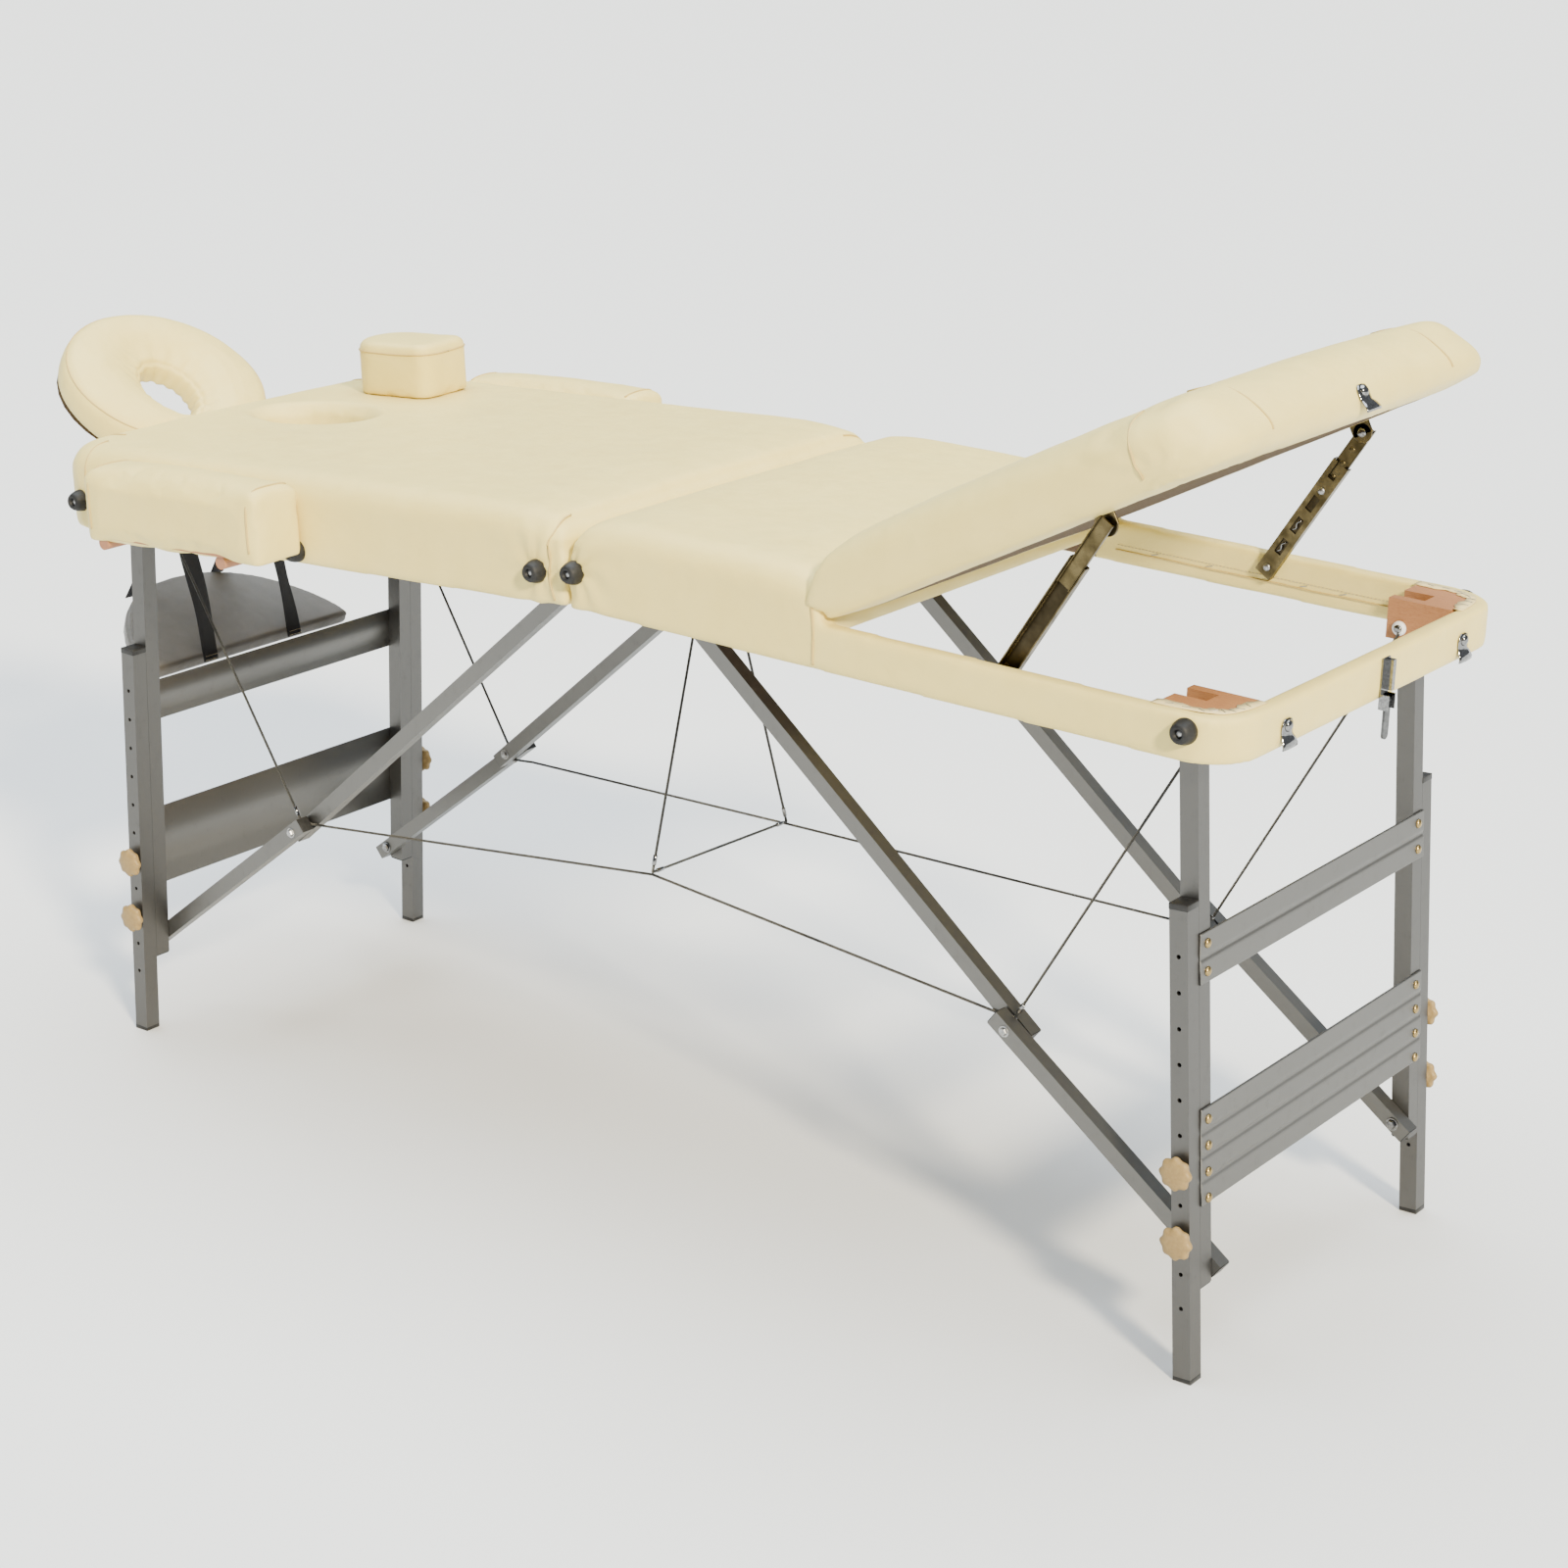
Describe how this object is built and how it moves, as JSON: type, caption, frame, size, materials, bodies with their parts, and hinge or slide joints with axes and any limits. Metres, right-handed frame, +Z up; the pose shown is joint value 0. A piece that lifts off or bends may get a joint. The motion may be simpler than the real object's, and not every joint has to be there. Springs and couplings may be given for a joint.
{
  "type": "portable massage table",
  "caption": "Folding massage table with padded top, tilting backrest, armrests, face cradle, hanging arm shelf and height-adjustable aluminium legs.",
  "frame": {"origin": "middle of the table's footprint, on the floor", "axes": "+X towards the foot end with the raised backrest, +Y across the table to its far side, +Z up"},
  "size_m": [2.1348, 0.82, 1.1312],
  "materials": {
    "cover": "cream PVC upholstery, satin",
    "plywood": "bare plywood",
    "beech": "oiled reddish beech",
    "aluminium": "satin drawn aluminium",
    "chrome": "bright plated steel",
    "zinc": "yellowish zinc-plated steel",
    "steel": "grey steel",
    "knob": "beige moulded plastic",
    "webbing": "black woven webbing"
  },
  "bodies": {
    "head_half": {"head_frame": "cover", "head_cushion": "cover", "centre_hinge": "steel", "corner_block_head_near": "beech", "corner_block_head_far": "beech", "side_cable_near": "steel", "side_cable_far": "steel", "centre_cable": "steel"},
    "foot_half": {"foot_frame": "cover", "seat_cushion": "cover", "centre_hinge_leaf": "steel", "corner_block_foot_near": "beech", "corner_block_foot_far": "beech", "latch_base": "chrome"},
    "backrest": {"backrest_board": "plywood", "backrest_cushion": "cover"},
    "strut_channels": {"strut_channel_near": "zinc", "strut_channel_far": "zinc"},
    "strut_bars": {"strut_bar_near": "zinc", "strut_bar_far": "zinc"},
    "latch": {"latch_lever": "chrome"},
    "face_plug": {"face_plug": "cover"},
    "cradle_base": {"cradle_rods": "beech"},
    "cradle_head": {"cradle_plate": "plywood", "cradle_cushion": "cover"},
    "arm_shelf": {"arm_shelf": "cover", "shelf_strap_near": "webbing", "shelf_strap_far": "webbing"},
    "armrest_near": {"armrest_board_near": "beech", "armrest_cushion_near": "cover"},
    "armrest_far": {"armrest_board_far": "beech", "armrest_cushion_far": "cover"},
    "head_legs": {"leg_rail_upper_head": "aluminium", "leg_rail_lower_head": "aluminium", "leg_upper_head_near": "aluminium", "leg_upper_head_far": "aluminium"},
    "head_braces_upper": {"brace_upper_head_near": "aluminium", "brace_upper_head_far": "aluminium"},
    "head_braces_lower": {"brace_lower_head_near": "aluminium", "brace_lower_head_far": "aluminium"},
    "extension_head_near": {"leg_extension_head_near": "aluminium"},
    "knob_low_head_near": {"knob_low_head_near": "knob"},
    "knob_high_head_near": {"knob_high_head_near": "knob"},
    "extension_head_far": {"leg_extension_head_far": "aluminium"},
    "knob_low_head_far": {"knob_low_head_far": "knob"},
    "knob_high_head_far": {"knob_high_head_far": "knob"},
    "foot_legs": {"leg_rail_upper_foot": "aluminium", "leg_rail_lower_foot": "aluminium", "leg_upper_foot_near": "aluminium", "leg_upper_foot_far": "aluminium"},
    "foot_braces_upper": {"brace_upper_foot_near": "aluminium", "brace_upper_foot_far": "aluminium"},
    "foot_braces_lower": {"brace_lower_foot_near": "aluminium", "brace_lower_foot_far": "aluminium"},
    "extension_foot_near": {"leg_extension_foot_near": "aluminium"},
    "knob_low_foot_near": {"knob_low_foot_near": "knob"},
    "knob_high_foot_near": {"knob_high_foot_near": "knob"},
    "extension_foot_far": {"leg_extension_foot_far": "aluminium"},
    "knob_low_foot_far": {"knob_low_foot_far": "knob"},
    "knob_high_foot_far": {"knob_high_foot_far": "knob"}
  },
  "joints": [
    {"name": "table_fold", "type": "hinge", "parent": "head_half", "child": "foot_half", "pos_m": [0.13031, 0, 0.77891], "axis": [0, 1, 0], "range_deg": [0, 60], "deforming": ["centre_cable"]},
    {"name": "head_legs_fold", "type": "hinge", "parent": "head_half", "child": "head_legs", "pos_m": [-0.70718, 0, 0.7742], "axis": [0, -1, 0], "range_deg": [0, 24], "deforming": ["side_cable_near"]},
    {"name": "head_braces_upper_fold", "type": "hinge", "parent": "head_half", "child": "head_braces_upper", "pos_m": [0.07951, 0, 0.80375], "axis": [0, 1, 0], "range_deg": [0, 16.2]},
    {"name": "head_braces_lower_fold", "type": "hinge", "parent": "head_legs", "child": "head_braces_lower", "pos_m": [-0.73612, 0, 0.13686], "axis": [0, -1, 0], "range_deg": [0, 44]},
    {"name": "extension_head_near_slide", "type": "slide", "parent": "head_legs", "child": "extension_head_near", "axis": [0.0454, 0, 0.999], "range_m": [-0.2544, 0.0848]},
    {"name": "knob_low_head_near_turn", "type": "hinge", "parent": "head_legs", "child": "knob_low_head_near", "pos_m": [-0.73428, -0.2896, 0.17742], "axis": [0, -1, 0], "continuous": true},
    {"name": "knob_high_head_near_turn", "type": "hinge", "parent": "head_legs", "child": "knob_high_head_near", "pos_m": [-0.73043, -0.2896, 0.26213], "axis": [0, -1, 0], "continuous": true},
    {"name": "extension_head_far_slide", "type": "slide", "parent": "head_legs", "child": "extension_head_far", "axis": [0.0454, 0, 0.999], "range_m": [-0.2544, 0.0848]},
    {"name": "knob_low_head_far_turn", "type": "hinge", "parent": "head_legs", "child": "knob_low_head_far", "pos_m": [-0.73428, 0.2896, 0.17742], "axis": [0, 1, 0], "continuous": true},
    {"name": "knob_high_head_far_turn", "type": "hinge", "parent": "head_legs", "child": "knob_high_head_far", "pos_m": [-0.73043, 0.2896, 0.26213], "axis": [0, 1, 0], "continuous": true},
    {"name": "foot_legs_fold", "type": "hinge", "parent": "foot_half", "child": "foot_legs", "pos_m": [0.96781, 0, 0.7742], "axis": [0, 1, 0], "range_deg": [0, 24], "deforming": ["side_cable_far"]},
    {"name": "foot_braces_upper_fold", "type": "hinge", "parent": "foot_half", "child": "foot_braces_upper", "pos_m": [0.18112, 0, 0.80375], "axis": [0, -1, 0], "range_deg": [0, 16.2]},
    {"name": "foot_braces_lower_fold", "type": "hinge", "parent": "foot_legs", "child": "foot_braces_lower", "pos_m": [0.99675, 0, 0.13686], "axis": [0, 1, 0], "range_deg": [0, 44]},
    {"name": "extension_foot_near_slide", "type": "slide", "parent": "foot_legs", "child": "extension_foot_near", "axis": [-0.0454, 0, 0.999], "range_m": [-0.2544, 0.0848]},
    {"name": "knob_low_foot_near_turn", "type": "hinge", "parent": "foot_legs", "child": "knob_low_foot_near", "pos_m": [0.99491, -0.2896, 0.17742], "axis": [0, -1, 0], "continuous": true},
    {"name": "knob_high_foot_near_turn", "type": "hinge", "parent": "foot_legs", "child": "knob_high_foot_near", "pos_m": [0.99106, -0.2896, 0.26213], "axis": [0, -1, 0], "continuous": true},
    {"name": "extension_foot_far_slide", "type": "slide", "parent": "foot_legs", "child": "extension_foot_far", "axis": [-0.0454, 0, 0.999], "range_m": [-0.2544, 0.0848]},
    {"name": "knob_low_foot_far_turn", "type": "hinge", "parent": "foot_legs", "child": "knob_low_foot_far", "pos_m": [0.99491, 0.2896, 0.17742], "axis": [0, 1, 0], "continuous": true},
    {"name": "knob_high_foot_far_turn", "type": "hinge", "parent": "foot_legs", "child": "knob_high_foot_far", "pos_m": [0.99106, 0.2896, 0.26213], "axis": [0, 1, 0], "continuous": true},
    {"name": "backrest_tilt", "type": "hinge", "parent": "foot_half", "child": "backrest", "pos_m": [0.51507, 0, 0.8251], "axis": [0, -1, 0], "range_deg": [-28.4, 0]},
    {"name": "strut_channels_turn", "type": "hinge", "parent": "foot_half", "child": "strut_channels", "pos_m": [0.74834, 0, 0.79995], "axis": [0, -1, 0], "range_deg": [-57.6, 0]},
    {"name": "strut_bars_slide", "type": "slide", "parent": "strut_channels", "child": "strut_bars", "axis": [0.5531, 0, 0.8331], "range_m": [-0.0665, 0]},
    {"name": "latch_swing", "type": "hinge", "parent": "foot_half", "child": "latch", "pos_m": [1.06162, 0, 0.75098], "axis": [0, -1, 0], "range_deg": [0, 120]},
    {"name": "armrest_near_slide", "type": "slide", "parent": "head_half", "child": "armrest_near", "axis": [0, -1, 0], "range_m": [0, 0.12]},
    {"name": "armrest_far_slide", "type": "slide", "parent": "head_half", "child": "armrest_far", "axis": [0, 1, 0], "range_m": [0, 0.12]},
    {"name": "face_plug_lift", "type": "slide", "parent": "head_half", "child": "face_plug", "axis": [-0.0349, 0, 0.9994], "range_m": [0, 0.1]},
    {"name": "cradle_rods_slide", "type": "slide", "parent": "head_half", "child": "cradle_base", "axis": [-0.9994, 0, -0.0349], "range_m": [0, 0.08]},
    {"name": "cradle_tilt", "type": "hinge", "parent": "cradle_base", "child": "cradle_head", "pos_m": [-0.85829, 0, 0.761], "axis": [0, 1, 0], "range_deg": [-35, 5]},
    {"name": "shelf_swing", "type": "hinge", "parent": "cradle_base", "child": "arm_shelf", "pos_m": [-0.83569, 0, 0.752], "axis": [0, 1, 0], "range_deg": [-25, 6]}
  ],
  "couplings": [
    {"joint": "head_braces_upper_fold", "follows": "head_legs_fold", "ratio": 0.6738},
    {"joint": "head_braces_lower_fold", "follows": "head_legs_fold", "ratio": 1.8325},
    {"joint": "foot_braces_upper_fold", "follows": "foot_legs_fold", "ratio": 0.6738},
    {"joint": "foot_braces_lower_fold", "follows": "foot_legs_fold", "ratio": 1.8325},
    {"joint": "strut_channels_turn", "follows": "backrest_tilt", "ratio": 2.018},
    {"joint": "strut_bars_slide", "follows": "backrest_tilt", "m_per_rad": 0.1337}
  ]
}
